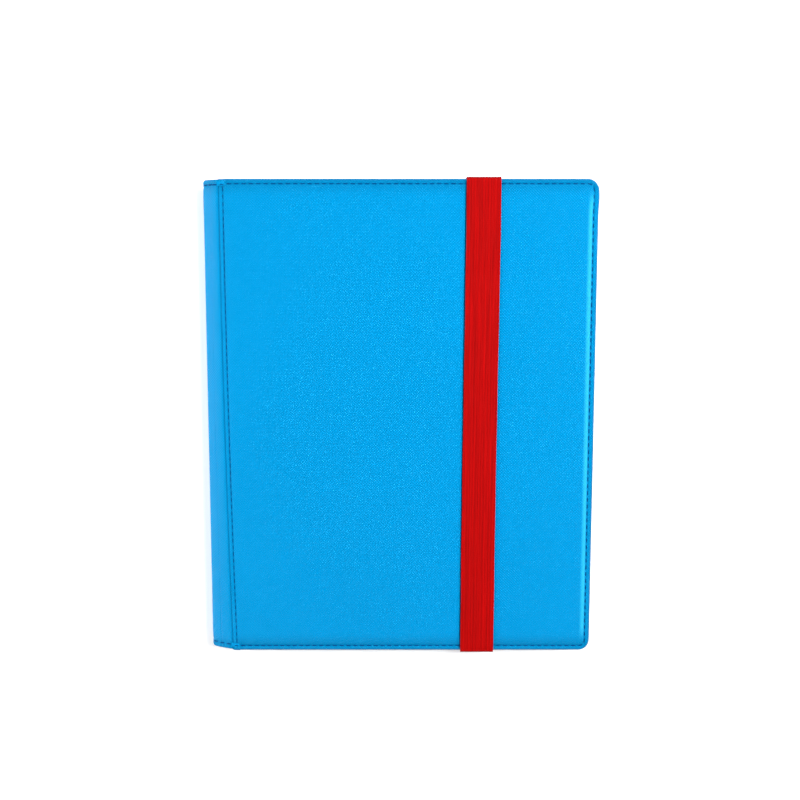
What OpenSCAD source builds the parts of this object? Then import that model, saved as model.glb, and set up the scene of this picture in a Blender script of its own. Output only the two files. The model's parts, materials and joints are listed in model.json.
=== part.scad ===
// Side-loading trading card binder with padded covers and an elastic strap.
// It lies closed on its back cover: X runs from the spine to the fore-edge,
// Y along the spine, Z from the back cover up to the front cover.

/* [Covers] */
// Height of the covers along the spine
cover_h = 340; // [200:1:420]
// Width of the closed binder from the spine's face to the fore-edge
overall_w = 277; // [180:1:340]
// Thickness of the closed binder between the covers' outer faces
closed_t = 26; // [24:0.5:40]
// Thickness of one padded cover
cover_t = 7; // [5:0.1:9]
// Radius of the covers' corners at the fore-edge
corner_r = 8; // [6:0.5:20]

/* [Layers] */
// Thickness of the outer skin
skin_t = 0.8; // [0.5:0.1:1.2]
// Thickness of the padding
foam_t = 3; // [2:0.1:4]
// Thickness of the lining
lining_t = 0.6; // [0.4:0.1:0.8]
// Thickness of the board inside the spine
spine_board_t = 2; // [1:0.1:2.6]
// Distance of the spine board's ends from the spine's ends, taken up by the skin's turned ends
spine_board_inset = 5.5; // [1:0.5:8]
// Play between the edge wall of the skin and the layers inside it
edge_play = 0.2; // [0.1:0.05:0.5]

/* [Folds] */
// Width of the sloping gutter between a cover's crease and the spine, seen from the front
gutter_run = 12.4; // [8:0.5:25]
// Slope of the gutter when the binder is closed, in degrees
gutter_slope = 24.5; // [15:0.5:28]
// Distance that the skin stops short of each fold line
fold_gap = 0.2; // [0.1:0.05:0.4]
// Distance that the lining stops short of each fold line
lining_gap = 0.4; // [0.35:0.05:0.8]
// Width of the flat flap of skin and lining between the crease and the padding
flap_w = 6; // [4:0.1:8]

/* [Stitching] */
// Distance of the edge seam from the covers' edges
seam_inset = 3.6; // [2.5:0.1:5.5]
// Distance of the hinge seam from the crease
hinge_seam = 3; // [2.5:0.1:4]
// Width of the sewing thread
thread_w = 0.8; // [0.4:0.1:1]
// Height of the sewing thread that lies on the skin
thread_h = 0.4; // [0.2:0.05:0.5]
// Depth of the thread's top below the outer face
thread_sink = 0.1; // [0.05:0.05:0.2]

/* [Elastic strap] */
// Width of the elastic
strap_w = 24; // [10:0.5:40]
// Thickness of the elastic
strap_t = 1.2; // [0.8:0.1:2]
// Distance of the elastic's centre line from the fore-edge
strap_inset = 81.5; // [40:0.1:120]
// Length of elastic sewn in under each end of the back cover
strap_tab = 10; // [6:0.5:20]
// Height at which the elastic enters the back cover's edge, to its middle
strap_entry_z = 3; // [2:0.1:4]

/* [Pages] */
// Number of pocket leaves
leaf_count = 20; // [4:2:20]
// Clear width of one pocket
pocket_w = 72; // [60:1:80]
// Clear height of one pocket
pocket_h = 97; // [80:1:100]
// Width of the weld between two pockets
weld_w = 3.5; // [2:0.5:5]
// Width of the bare margin between a leaf's hinge line and its first weld
leaf_margin = 14; // [10:0.5:20]
// Thickness of a leaf across its backing and both pocket films
leaf_t = 0.36; // [0.2:0.02:0.4]
// Thickness of the margin film
film_t = 0.1; // [0.06:0.02:0.1]
// Distance from a leaf's hinge line to where its free film starts
film_start = 5; // [4:0.5:6]
// Height of a leaf's hinge line above the spine's outer face when the binder lies open
leaf_lift = 10; // [9.8:0.1:12]
// Play between the last leaf and each cover's lining
leaf_play = 0.3; // [0.25:0.05:1]

/* [Binding block] */
// Height of the binding block along the spine
block_h = 300; // [200:1:330]
// Depth of the block's slots
slot_depth = 2; // [1:0.5:4]
// Width of the block's slots
slot_w = 0.2; // [0.16:0.02:0.3]

/* [Hidden] */
$fn = 64;
node_prefix = "leaf_";

fore_x = overall_w / 2;
spine_face = -overall_w / 2;
// Fold lines run along the skin's inner face
fold_x = spine_face + skin_t;
crease_x = fold_x + gutter_run;
gutter_l = gutter_run / cos(gutter_slope);
fold_z = skin_t + gutter_run * tan(gutter_slope);
spine_l = closed_t - 2 * fold_z;

half_h = cover_h / 2;
pad_x = crease_x + flap_w;
board_t = cover_t - skin_t - foam_t - lining_t;
strap_x = fore_x - strap_inset;
strap_play = 0.1;
tab_play = 0.2;

spine_lining_x = fold_x + spine_board_t;
spine_inner_x = spine_lining_x + lining_t;
// Setback of the stiff spine layers from the fold lines
spine_setback = lining_t + 0.3;

hinge_x = spine_face + leaf_lift;
leaf_w = 3 * pocket_w + 4 * weld_w;
leaf_h = 3 * pocket_h + 4 * weld_w;
first_leaf_z = cover_t + leaf_play;
leaf_pitch = (closed_t - 2 * first_leaf_z) / (leaf_count - 1);
block_z = cover_t + 0.2;
block_face_x = hinge_x - 0.4;

cyan = [0.02, 0.42, 0.85];
thread_blue = [0.0, 0.2, 0.5];
charcoal = [0.08, 0.08, 0.09];
kraft = [0.45, 0.36, 0.25];
foam_white = [0.85, 0.85, 0.8];
strap_red = [0.75, 0.03, 0.03];

function leaf_name(i) = str(node_prefix, i < 10 ? "0" : "", i);

FIXED_NODES = [
    "back_skin", "back_foam", "back_board", "back_lining", "back_stitching", "strap_end_tabs",
    "rear_gutter_skin", "rear_gutter_lining", "rear_gutter_stitching",
    "spine_skin", "spine_board", "spine_lining", "spine_stitching", "page_binding_block",
    "front_gutter_skin", "front_gutter_lining", "front_gutter_stitching",
    "front_skin", "front_foam", "front_board", "front_lining", "front_stitching",
    "elastic_strap"
];

// ---- Plans and profiles ----

// A cover's outline: square at its hinge side x0, with round corners at the fore-edge
module cover_plan(x0, inset = 0) {
    x1 = fore_x - inset;
    h = half_h - inset;
    r = corner_r - inset;
    translate([x0, -h]) square([x1 - r - x0, 2 * h]);
    translate([x0, r - h]) square([x1 - x0, 2 * (h - r)]);
    for (side = [-1, 1])
        translate([x1 - r, side * (h - r)]) circle(r);
}

// A cover's seam: round the three free edges, and a line beside the crease
module seam_plan(w) {
    difference() {
        cover_plan(crease_x + lining_gap, seam_inset - w / 2);
        cover_plan(crease_x - 1, seam_inset + w / 2);
    }
    translate([crease_x + hinge_seam - w / 2, seam_inset - half_h])
        square([w, cover_h - 2 * seam_inset]);
}

// Both ends of a straight seam across a strip that spans x0 to x1
module end_seams_plan(x0, x1, w) {
    for (side = [-1, 1])
        translate([x0, side * (half_h - seam_inset) - w / 2]) square([x1 - x0, w]);
}

// A block from x0 to x1 and z0 to z1, centred on Y
module bar(x0, x1, h, z0, z1) {
    translate([x0, -h / 2, z0]) cube([x1 - x0, h, z1 - z0]);
}

// Turns a part of the back half into its twin in the front half
module front_half() {
    translate([0, 0, closed_t]) mirror([0, 0, 1]) children();
}

// ---- Cover layers, drawn for the back cover with the outer face at z = 0 ----

module skin_layer() {
    difference() {
        linear_extrude(cover_t) cover_plan(crease_x + fold_gap);
        translate([0, 0, skin_t]) linear_extrude(cover_t) cover_plan(crease_x - 1, skin_t);
        bar(crease_x - 1, pad_x - skin_t, cover_h + 2, skin_t, cover_t + 1);
        translate([0, 0, -1]) linear_extrude(1 + thread_sink + thread_h) seam_plan(thread_w);
    }
}

module seam_layer() {
    translate([0, 0, thread_sink]) linear_extrude(thread_h) seam_plan(thread_w);
}

module foam_layer() {
    translate([0, 0, skin_t])
        linear_extrude(foam_t) cover_plan(pad_x, skin_t + edge_play);
}

module board_layer() {
    translate([0, 0, skin_t + foam_t])
        linear_extrude(board_t) cover_plan(pad_x, skin_t + edge_play);
}

// The lining covers the board, turns down its hinge edge and meets the skin in the flap
module lining_layer() {
    inner_h = cover_h - 2 * (skin_t + edge_play);
    translate([0, 0, cover_t - lining_t])
        linear_extrude(lining_t) cover_plan(pad_x - lining_t, skin_t + edge_play);
    bar(pad_x - lining_t, pad_x, inner_h, skin_t, cover_t - lining_t);
    bar(crease_x + lining_gap, pad_x - lining_t, inner_h, skin_t, skin_t + lining_t);
}

// ---- Strips between the covers ----

// Places a strip that runs from x = 0 towards -X onto the rear gutter's slope
module on_gutter() {
    translate([crease_x, 0, skin_t]) rotate([0, gutter_slope, 0]) children();
}

module gutter_skin_layer() {
    on_gutter() difference() {
        bar(fold_gap - gutter_l, -fold_gap, cover_h, -skin_t, 0);
        translate([0, 0, -skin_t - 1]) linear_extrude(1 + thread_sink + thread_h)
            end_seams_plan(-gutter_l, 0, thread_w);
    }
}

module gutter_seam_layer() {
    on_gutter() translate([0, 0, thread_sink - skin_t]) linear_extrude(thread_h)
        end_seams_plan(lining_gap - gutter_l, -lining_gap, thread_w);
}

module gutter_lining_layer() {
    on_gutter() bar(lining_gap - gutter_l, -lining_gap,
                    cover_h - 2 * (skin_t + edge_play), 0, lining_t);
}

// Turns a strip drawn flat, with its outer face at z = 0 and its length along X, upright
module on_spine() {
    translate([spine_face, 0, fold_z]) rotate([0, 90, 0]) mirror([1, 0, 0]) children();
}

module end_seam_bars(x0, x1, z0, z1) {
    translate([0, 0, z0]) linear_extrude(z1 - z0) end_seams_plan(x0, x1, thread_w);
}

// ---- Nodes of the back cover ----

module back_skin() {
    color(cyan) difference() {
        skin_layer();
        for (side = [-1, 1])
            translate([strap_x, side * half_h, strap_entry_z])
                cube([strap_w + 2 * tab_play, 4 * skin_t, strap_t + 2 * tab_play], center = true);
    }
}

module back_foam() {
    color(foam_white) difference() {
        foam_layer();
        for (side = [-1, 1])
            translate([strap_x, side * half_h, strap_entry_z])
                cube([strap_w + 2 * tab_play, 2 * strap_tab + 1, 2 * strap_t], center = true);
    }
}

module back_board() {
    color(kraft) difference() {
        board_layer();
        for (side = [-1, 1])
            translate([strap_x, side * half_h, strap_entry_z])
                cube([strap_w + 2 * tab_play, 2 * strap_tab + 1, 2 * strap_t], center = true);
    }
}

module back_lining() {
    color(charcoal) lining_layer();
}

module back_stitching() {
    color(thread_blue) seam_layer();
}

// The two ends of the elastic, sewn in between the back cover's layers
module strap_end_tabs() {
    color(strap_red)
        for (side = [-1, 1])
            translate([strap_x, side * (half_h - strap_tab / 2), strap_entry_z])
                cube([strap_w, strap_tab, strap_t], center = true);
}

// ---- Nodes of the gutters and the spine ----

module rear_gutter_skin() {
    color(cyan) gutter_skin_layer();
}

module rear_gutter_lining() {
    color(charcoal) gutter_lining_layer();
}

module rear_gutter_stitching() {
    color(thread_blue) gutter_seam_layer();
}

module front_gutter_skin() {
    color(cyan) front_half() gutter_skin_layer();
}

module front_gutter_lining() {
    color(charcoal) front_half() gutter_lining_layer();
}

module front_gutter_stitching() {
    color(thread_blue) front_half() gutter_seam_layer();
}

module spine_skin() {
    color(cyan) on_spine() difference() {
        bar(fold_gap, spine_l - fold_gap, cover_h, 0, skin_t);
        end_seam_bars(0, spine_l, -1, thread_sink + thread_h);
    }
}

module spine_stitching() {
    color(thread_blue) on_spine()
        end_seam_bars(lining_gap, spine_l - lining_gap, thread_sink, thread_sink + thread_h);
}

module spine_board() {
    color(kraft) on_spine()
        bar(spine_setback, spine_l - spine_setback, cover_h - 2 * spine_board_inset,
            skin_t, skin_t + spine_board_t);
}

module spine_lining() {
    color(charcoal) on_spine()
        bar(spine_setback, spine_l - spine_setback, cover_h - 2 * (skin_t + edge_play),
            skin_t + spine_board_t, skin_t + spine_board_t + lining_t);
}

// The block on the spine that grips every leaf's root in a slot
module page_binding_block() {
    color(charcoal) difference() {
        bar(spine_inner_x, block_face_x, block_h, block_z, closed_t - block_z);
        for (i = [0:leaf_count - 1]) {
            z = first_leaf_z + i * leaf_pitch;
            bar(block_face_x - slot_depth, block_face_x + 1, block_h + 2, z - slot_w / 2, z + slot_w / 2);
        }
    }
}

// ---- Nodes of the front cover ----

module front_skin() {
    color(cyan) front_half() skin_layer();
}

module front_foam() {
    color(foam_white) front_half() foam_layer();
}

module front_board() {
    color(kraft) front_half() board_layer();
}

module front_lining() {
    color(charcoal) front_half() lining_layer();
}

module front_stitching() {
    color(thread_blue) front_half() seam_layer();
}

// ---- Elastic strap ----

// One run over the front cover and a leg down each end to the back cover's edge
module elastic_strap() {
    run_z = closed_t + strap_play;
    leg_y = half_h + strap_play;
    leg_foot = strap_entry_z - strap_t / 2;
    color(strap_red) {
        bar(strap_x - strap_w / 2, strap_x + strap_w / 2, 2 * (leg_y + strap_t), run_z, run_z + strap_t);
        for (side = [-1, 1])
            translate([strap_x, side * (leg_y + strap_t / 2), (leg_foot + run_z + strap_t / 2) / 2])
                cube([strap_w, strap_t, run_z + strap_t / 2 - leg_foot], center = true);
    }
}

// ---- Pocket leaves ----

// Leaf i of the stack, counted from the back cover: a thin margin film that
// bends at the block, then the welded sheet of backing and pocket films
module leaf(i) {
    z = first_leaf_z + (i - 1) * leaf_pitch;
    x_film = hinge_x + film_start;
    x_sheet = hinge_x + leaf_margin;
    x_end = x_sheet + leaf_w;
    color(charcoal) translate([0, 0, z]) rotate([90, 0, 0])
        linear_extrude(leaf_h, center = true)
            polygon([
                [x_film, -film_t / 2], [x_sheet, -film_t / 2],
                [x_sheet, -leaf_t / 2], [x_end, -leaf_t / 2],
                [x_end, leaf_t / 2], [x_sheet, leaf_t / 2],
                [x_sheet, film_t / 2], [x_film, film_t / 2]
            ]);
}

back_skin();
back_foam();
back_board();
back_lining();
back_stitching();
strap_end_tabs();
rear_gutter_skin();
rear_gutter_lining();
rear_gutter_stitching();
spine_skin();
spine_board();
spine_lining();
spine_stitching();
page_binding_block();
front_gutter_skin();
front_gutter_lining();
front_gutter_stitching();
front_skin();
front_foam();
front_board();
front_lining();
front_stitching();
elastic_strap();
for (i = [1:leaf_count])
    leaf(i);
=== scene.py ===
import json
import math

import bmesh
import bpy
import numpy as np
from bpy.props import FloatProperty, FloatVectorProperty, IntProperty, PointerProperty
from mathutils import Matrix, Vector


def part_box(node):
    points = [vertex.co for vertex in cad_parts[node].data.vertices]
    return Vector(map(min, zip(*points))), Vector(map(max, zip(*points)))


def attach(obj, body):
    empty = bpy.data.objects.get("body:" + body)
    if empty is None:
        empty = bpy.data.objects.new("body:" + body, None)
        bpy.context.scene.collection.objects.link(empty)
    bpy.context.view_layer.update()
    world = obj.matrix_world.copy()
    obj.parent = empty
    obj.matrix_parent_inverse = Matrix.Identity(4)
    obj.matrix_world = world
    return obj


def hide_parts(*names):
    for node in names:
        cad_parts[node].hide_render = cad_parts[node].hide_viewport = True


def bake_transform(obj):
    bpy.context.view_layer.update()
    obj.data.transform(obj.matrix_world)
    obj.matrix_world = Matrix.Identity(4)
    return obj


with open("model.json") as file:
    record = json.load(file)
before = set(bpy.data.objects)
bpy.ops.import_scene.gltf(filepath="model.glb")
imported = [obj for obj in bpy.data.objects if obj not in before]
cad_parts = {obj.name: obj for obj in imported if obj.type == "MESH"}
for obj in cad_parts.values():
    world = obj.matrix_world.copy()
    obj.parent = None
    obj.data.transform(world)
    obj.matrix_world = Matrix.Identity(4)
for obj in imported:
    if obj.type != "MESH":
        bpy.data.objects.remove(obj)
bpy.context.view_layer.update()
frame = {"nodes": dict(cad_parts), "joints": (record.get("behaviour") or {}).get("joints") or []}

bl_info = {
    "name": "Padded Card Binder",
    "version": (1, 0, 0),
    "blender": (4, 5, 0),
    "location": "View3D > Sidebar > Binder",
    "description": "Builds a padded, stitched card binder with pocket leaves and an elastic strap",
    "category": "Add Mesh",
}

# ---------------------------------------------------------------------------
# Measures taken from the frame
# ---------------------------------------------------------------------------

MM = 0.001
FRONT_LOW, FRONT_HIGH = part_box("front_skin")
BOARD_LOW, BOARD_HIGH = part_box("front_board")
STRAP_LOW, STRAP_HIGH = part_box("elastic_strap")
TAB_LOW, TAB_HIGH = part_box("strap_end_tabs")
LEAVES = sorted(name for name in frame["nodes"] if name.startswith("leaf_"))
PIVOTS = {j["name"]: j.get("pos_m") for j in frame["joints"]}

TOP = FRONT_HIGH.z
HALF_H = FRONT_HIGH.y
FORE_X = FRONT_HIGH.x
SPINE_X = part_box("spine_skin")[0].x
BLOCK_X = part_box("page_binding_block")[1].x
COVER_T = FRONT_HIGH.z - FRONT_LOW.z
CREASE = PIVOTS["front_crease"]
SPINE_FOLD = PIVOTS["front_spine_fold"]
SKIN_T = TOP - CREASE[2]
GUTTER_SLOPE = math.atan2(CREASE[2] - SPINE_FOLD[2], CREASE[0] - SPINE_FOLD[0])

# Thickness of the flexible folds and of the spine, from outer to inner face
FOLD_T = 1.4 * MM
SPINE_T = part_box("spine_lining")[1].x - SPINE_X
# Radii of the outer face's bends at the crease and at the spine
CREASE_R = 1.5 * MM
SPINE_R = 2.8 * MM
# Where the outer face's straight lines would meet
CREASE_POINT = (CREASE[0] - SKIN_T * math.tan(GUTTER_SLOPE / 2), TOP)
SPINE_POINT = (SPINE_X, SPINE_FOLD[2] + SKIN_T * math.tan((math.pi / 2 - GUTTER_SLOPE) / 2))
GUTTER_L = math.hypot(CREASE_POINT[0] - SPINE_POINT[0], CREASE_POINT[1] - SPINE_POINT[1])
COVER_L = FORE_X - CREASE_POINT[0]
SPINE_MIDDLE_U = -GUTTER_L - (SPINE_POINT[1] - TOP / 2)
GUTTER_MIDDLE_U = -GUTTER_L / 2
PAD_U = BOARD_LOW.x - CREASE_POINT[0]
# How far the gutter bows out, and how the hinge line lies on the cover
GUTTER_BOW = 0.8 * MM
HINGE_OFFSET = -0.1 * MM
HINGE_LEAN = 0.0118
HINGE_BOW = 0.034
# The spine's ends are rounded off by this radius
SPINE_END_R = 2.3 * MM
# How far the upper corner of the fore-edge stands out
CORNER_BULGE = 0.6 * MM
# Depth of the skin's turned-in end under the lining
TUCK = 0.12 * MM
# Width of the zone in which rings round a corner are laid out
CORNER_ZONE = 16 * MM
# Developed lengths between which the crease and the spine's edge bend
CREASE_BEND = (-3.4 * MM, 3.0 * MM)
SPINE_BEND = (-GUTTER_L - 2.8 * MM, -GUTTER_L + 2.8 * MM)
# Share of the pitch that a stitch covers
STITCH_SHARE = 0.78
# Slope of the elastic across the cover, its middle line, and how far its ends are sewn in
STRAP_LEAN = 0.0068
STRAP_X = (STRAP_LOW.x + STRAP_HIGH.x) / 2
STRAP_W = STRAP_HIGH.x - STRAP_LOW.x
SEWN_IN = 8 * MM
# Pockets across a leaf, and up it
POCKETS = 3


# ---------------------------------------------------------------------------
# Settings
# ---------------------------------------------------------------------------


def length(name, description, default):
    """A length property, in metres."""
    return FloatProperty(name=name, description=description, default=default, min=0, unit="LENGTH")


def colour(name, description, default):
    """A linear RGB colour property."""
    return FloatVectorProperty(
        name=name, description=description, default=default, subtype="COLOR", size=3, min=0, max=1
    )


class CoverSettings(bpy.types.PropertyGroup):
    """Shape and finish of the padded covers."""

    corner_r: length("Corner radius", "Radius of the covers' corners", 8 * MM)
    skin_t: length("Skin thickness", "Thickness of the leatherette", 0.45 * MM)
    lining_t: length("Lining thickness", "Thickness of the lining cloth", 0.4 * MM)
    seam_inset: length("Seam inset", "Distance of the edge seam from the edge", 3.6 * MM)
    hinge_seam: length("Hinge seam", "Distance of the hinge seam from the crease", 3.0 * MM)
    stitch_pitch: length("Stitch pitch", "Distance between stitches", 5 * MM)
    thread_d: length("Thread diameter", "Diameter of the sewing thread", 0.85 * MM)
    hatch_pitch: length("Hatch pitch", "Distance between the lines of the cross-hatch", 1.4 * MM)
    skin_colour: colour("Skin colour", "Colour of the leatherette", (0.0, 0.299, 0.675))
    thread_colour: colour("Thread colour", "Colour of the sewing thread", (0.0, 0.055, 0.22))
    lining_colour: colour("Lining colour", "Colour of the lining", (0.012, 0.012, 0.014))


class StrapSettings(bpy.types.PropertyGroup):
    """Shape and finish of the elastic strap."""

    ribs: IntProperty(name="Ribs", description="Ribs across the elastic", default=12, min=4)
    rib_h: length("Rib height", "Height of the ribs", 0.16 * MM)
    thickness: length("Thickness", "Thickness of the elastic", 1.1 * MM)
    colour: colour("Colour", "Colour of the elastic", (0.41, 0.0004, 0.0005))


class LeafSettings(bpy.types.PropertyGroup):
    """Shape and finish of the pocket leaves."""

    weld_w: length("Weld width", "Width of the welds between pockets", 3.5 * MM)
    weld_t: length("Weld thickness", "Thickness of a leaf at its welds", 0.16 * MM)
    pocket_t: length("Pocket thickness", "Thickness of a leaf across its pockets", 0.44 * MM)
    margin: length("Margin", "Bare margin between the hinge line and the first weld", 14 * MM)
    colour: colour("Colour", "Colour of the backing under the clear film", (0.014, 0.014, 0.017))


# ---------------------------------------------------------------------------
# Mesh tools
# ---------------------------------------------------------------------------


def grid_faces(nu, nv, flip=False):
    """Quads of a grid of nu by nv points stored row by row; they face u cross v, or the other way."""
    i, j = np.meshgrid(np.arange(nu - 1), np.arange(nv - 1), indexing="ij")
    a = (i * nv + j).ravel()
    quads = np.stack([a, a + nv, a + nv + 1, a + 1], axis=1)
    return quads[:, ::-1] if flip else quads


def make_piece(name, points, faces, material, uv=None, attributes=None):
    """A smooth-shaded mesh object at the origin, with one UV pair and one attribute value per point."""
    mesh = bpy.data.meshes.new(name)
    mesh.from_pydata(points.reshape(-1, 3).tolist(), [], faces.tolist())
    mesh.polygons.foreach_set("use_smooth", np.ones(len(mesh.polygons), bool))
    if uv is not None:
        corners = np.zeros(len(mesh.loops), np.int32)
        mesh.loops.foreach_get("vertex_index", corners)
        layer = mesh.uv_layers.new(name="Surface")
        layer.data.foreach_set("uv", uv.reshape(-1, 2)[corners].astype(np.float32).ravel())
    for key, values in (attributes or {}).items():
        attribute = mesh.attributes.new(key, "FLOAT", "POINT")
        attribute.data.foreach_set("value", np.ascontiguousarray(values, np.float32).ravel())
    mesh.materials.append(material)
    mesh.update()
    piece = bpy.data.objects.new(name, mesh)
    bpy.context.scene.collection.objects.link(piece)
    return piece


def closed_slab(top, bottom):
    """Points and faces of a closed slab between two grids of the same size: the top's quads, the
    bottom's quads turned over, and one band of quads round the joined rims."""
    nu, nv = top.shape[:2]
    count = nu * nv
    index = np.arange(count).reshape(nu, nv)
    rim = np.concatenate([index[:, 0], index[-1, 1:], index[-2::-1, -1], index[0, -2:0:-1]])
    after = np.roll(rim, -1)
    band = np.stack([rim, rim + count, after + count, after], axis=1)
    faces = np.concatenate([grid_faces(nu, nv), grid_faces(nu, nv, True) + count, band])
    return np.concatenate([top.reshape(-1, 3), bottom.reshape(-1, 3)]), faces


def solidify(piece, thickness):
    """Gives a sheet its thickness, inwards from its outer face."""
    wall = piece.modifiers.new("Thickness", "SOLIDIFY")
    wall.thickness = thickness
    wall.offset = -1
    wall.use_even_offset = False


def to_back(points):
    """Mirrors points of the front half into the back half, across the binder's middle plane."""
    turned = points.copy()
    turned[..., 2] = TOP - turned[..., 2]
    return turned


def smoothstep(low, high, x):
    """0 below low, 1 above high, and the cubic 3t^2 - 2t^3 between them."""
    t = np.clip((x - low) / (high - low), 0, 1)
    return t * t * (3 - 2 * t)


def bell(x, centre, width):
    """A Gaussian bump of height 1."""
    return np.exp(-(((x - centre) / width) ** 2))


# ---------------------------------------------------------------------------
# The covers' surface
# ---------------------------------------------------------------------------


def fold_path(u):
    """Points and outward normals, in XZ, of the front half's outer face at developed lengths u.

    u is 0 at the crease, positive over the cover, negative over the gutter and the spine. The
    heading falls from 90 degrees on the spine to the gutter's slope and then to 0: straight runs
    are joined by arcs, along which the heading changes in proportion to u. The gutter bows out by
    a cubic of its length, whose factor 6.75 makes GUTTER_BOW its height.
    """
    u = np.asarray(u, float)
    crease_t = CREASE_R * math.tan(GUTTER_SLOPE / 2)
    spine_turn = math.pi / 2 - GUTTER_SLOPE
    spine_t = SPINE_R * math.tan(spine_turn / 2)
    at_crease = np.clip((u + crease_t) / (2 * crease_t), 0, 1)
    at_spine = np.clip((u + GUTTER_L + spine_t) / (2 * spine_t), 0, 1)
    heading = math.pi / 2 - spine_turn * at_spine - GUTTER_SLOPE * at_crease

    def arc(corner, start, tangent, radius):
        from_x = corner[0] - tangent * math.cos(start)
        from_z = corner[1] - tangent * math.sin(start)
        x = from_x - radius * (np.sin(heading) - math.sin(start))
        z = from_z + radius * (np.cos(heading) - math.cos(start))
        return x, z

    crease_x, crease_z = arc(CREASE_POINT, GUTTER_SLOPE, crease_t, CREASE_R)
    spine_x, spine_z = arc(SPINE_POINT, math.pi / 2, spine_t, SPINE_R)
    where = [u >= crease_t, u > -crease_t, u >= spine_t - GUTTER_L, u > -spine_t - GUTTER_L]
    gutter_x = CREASE_POINT[0] + u * math.cos(GUTTER_SLOPE)
    gutter_z = CREASE_POINT[1] + u * math.sin(GUTTER_SLOPE)
    x = np.select(where, [CREASE_POINT[0] + u, crease_x, gutter_x, spine_x], SPINE_X)
    z = np.select(where, [TOP, crease_z, gutter_z, spine_z], SPINE_POINT[1] + u + GUTTER_L)
    bow_l = GUTTER_L + 3 * MM
    share = np.clip(-u / bow_l, 0, 1)
    bow = GUTTER_BOW * 6.75 * share * (1 - share) ** 2
    tilt = np.arctan(GUTTER_BOW * 6.75 * (1 - share) * (1 - 3 * share) / bow_l)
    tilt = np.where((u < 0) & (share < 1), tilt, 0)
    x, z = x - np.sin(heading) * bow, z + np.cos(heading) * bow
    return x, z, -np.sin(heading - tilt), np.cos(heading - tilt)


def hinge_shift(u, y):
    """How far the crease and the hinge seam lie off their straight line: they lean and bow a
    little along their length. The shift fades out over the gutter and over the cover."""
    lean = HINGE_OFFSET - HINGE_LEAN * y + HINGE_BOW * y**2
    fade = smoothstep(-GUTTER_L + 2 * MM, -1 * MM, u) * (1 - smoothstep(12 * MM, 60 * MM, u))
    return lean * fade


def body_thickness(u):
    """Distance from the outer to the inner face: the padded cover, the thin folds, the spine."""
    cover = (COVER_T - FOLD_T) * smoothstep(PAD_U - 1.8 * MM, PAD_U - 0.4 * MM, u)
    spine = (SPINE_T - FOLD_T) * smoothstep(-GUTTER_L - 0.4 * MM, -GUTTER_L - 2.4 * MM, u)
    return FOLD_T + cover + spine


def end_inset(x, u, side):
    """How far the folds' ends are drawn in, on the side with the sign given: the skin gathers in
    from the padding to the spine, and ends in a quarter circle at the spine's face."""
    near = np.clip((SPINE_END_R - (x - SPINE_X)) / SPINE_END_R, 0, 1)
    gather = 0.4 * MM * smoothstep(PAD_U, PAD_U - 3 * MM, u)
    gather = gather + 0.3 * MM * smoothstep(0.5 * MM, -0.5 * MM, u)
    lower = 0.6 * MM * smoothstep(2 * MM, -1 * MM, u) + 1.0 * MM * np.clip(-u / GUTTER_L, 0, 1)
    return gather + np.where(side < 0, lower, 0) + SPINE_END_R * (1 - np.sqrt(1 - near**2))


def hinge_drop(u, settings):
    """Depth of the pressed crease, of the hinge seam's channel, and of the padding's rolled end."""
    crease = 0.55 * MM * bell(u, 0, 0.55 * MM)
    channel = 0.5 * MM * bell(u, settings.hinge_seam, 0.7 * MM)
    padding = 0.35 * MM * smoothstep(settings.hinge_seam + 7 * MM, settings.hinge_seam, u)
    flap = smoothstep(-1.6 * MM, 0.2 * MM, u)
    return crease + channel + padding * flap


def face_drop(d, t, settings):
    """Depth of the outer face below the crown at distance d from the edge, for thickness t.

    A rim that lies lower than the crown, a Gaussian channel along the seam, and a slow crown.
    """
    stout = np.clip((t - FOLD_T) / (COVER_T - FOLD_T), 0, 1)
    rim = (0.1 + 0.5 * stout) * MM
    channel = (0.18 + 0.37 * stout) * MM * bell(d, settings.seam_inset, 0.75 * MM)
    rise = rim * (1 - smoothstep(settings.seam_inset, settings.seam_inset + 7.5 * MM, d))
    return rise + channel + 0.3 * MM * stout * np.exp(-d / (13 * MM))


# Distances from the edge of the rows that follow the rolled edge, in from it
FACE_ROWS = np.array([2.4, 3.0, 3.6, 4.2, 5.0, 6.2, 8.0, 10.3, 13.0, 16.0]) * MM


def edge_profile(t, settings):
    """Insets, depths and share of the face of the rows across an edge, for thicknesses t.

    The rows run from the turned-in end of the skin, round a small arc, up the wall, round a
    larger arc and over the face to the corner zone's limit.
    """
    t = np.atleast_1d(t)[:, None]
    top_r = np.minimum(1.6 * MM, 0.35 * t)
    low_r = np.minimum(0.9 * MM, 0.25 * t)
    under = t - settings.lining_t
    low = np.radians([90, 60, 30, 0])[None, :]
    high = np.radians([0, 22.5, 45, 67.5, 90])[None, :]
    edge = face_drop(top_r, t, settings)
    one = np.ones_like(t)
    wall_top = edge + top_r
    wall_low = under - low_r
    insets = [5 * MM * one, 3 * MM * one, low_r * (1 - np.cos(low)), 0 * one, 0 * one]
    insets += [top_r * (1 - np.cos(high)), FACE_ROWS[None, :] * one]
    depths = [under - TUCK, under - TUCK, under - low_r * (1 - np.sin(low))]
    depths += [wall_low + (wall_top - wall_low) * share for share in (0.33, 0.67)]
    depths += [edge + top_r * (1 - np.sin(high)), face_drop(FACE_ROWS[None, :], t, settings)]
    insets, depths = np.concatenate(insets, axis=1), np.concatenate(depths, axis=1)
    upper = high.size + len(FACE_ROWS)
    face = np.zeros(insets.shape[1])
    face[-upper:] = np.clip(np.arange(upper) / high.size, 0, 1)
    return insets, depths, face


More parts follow.
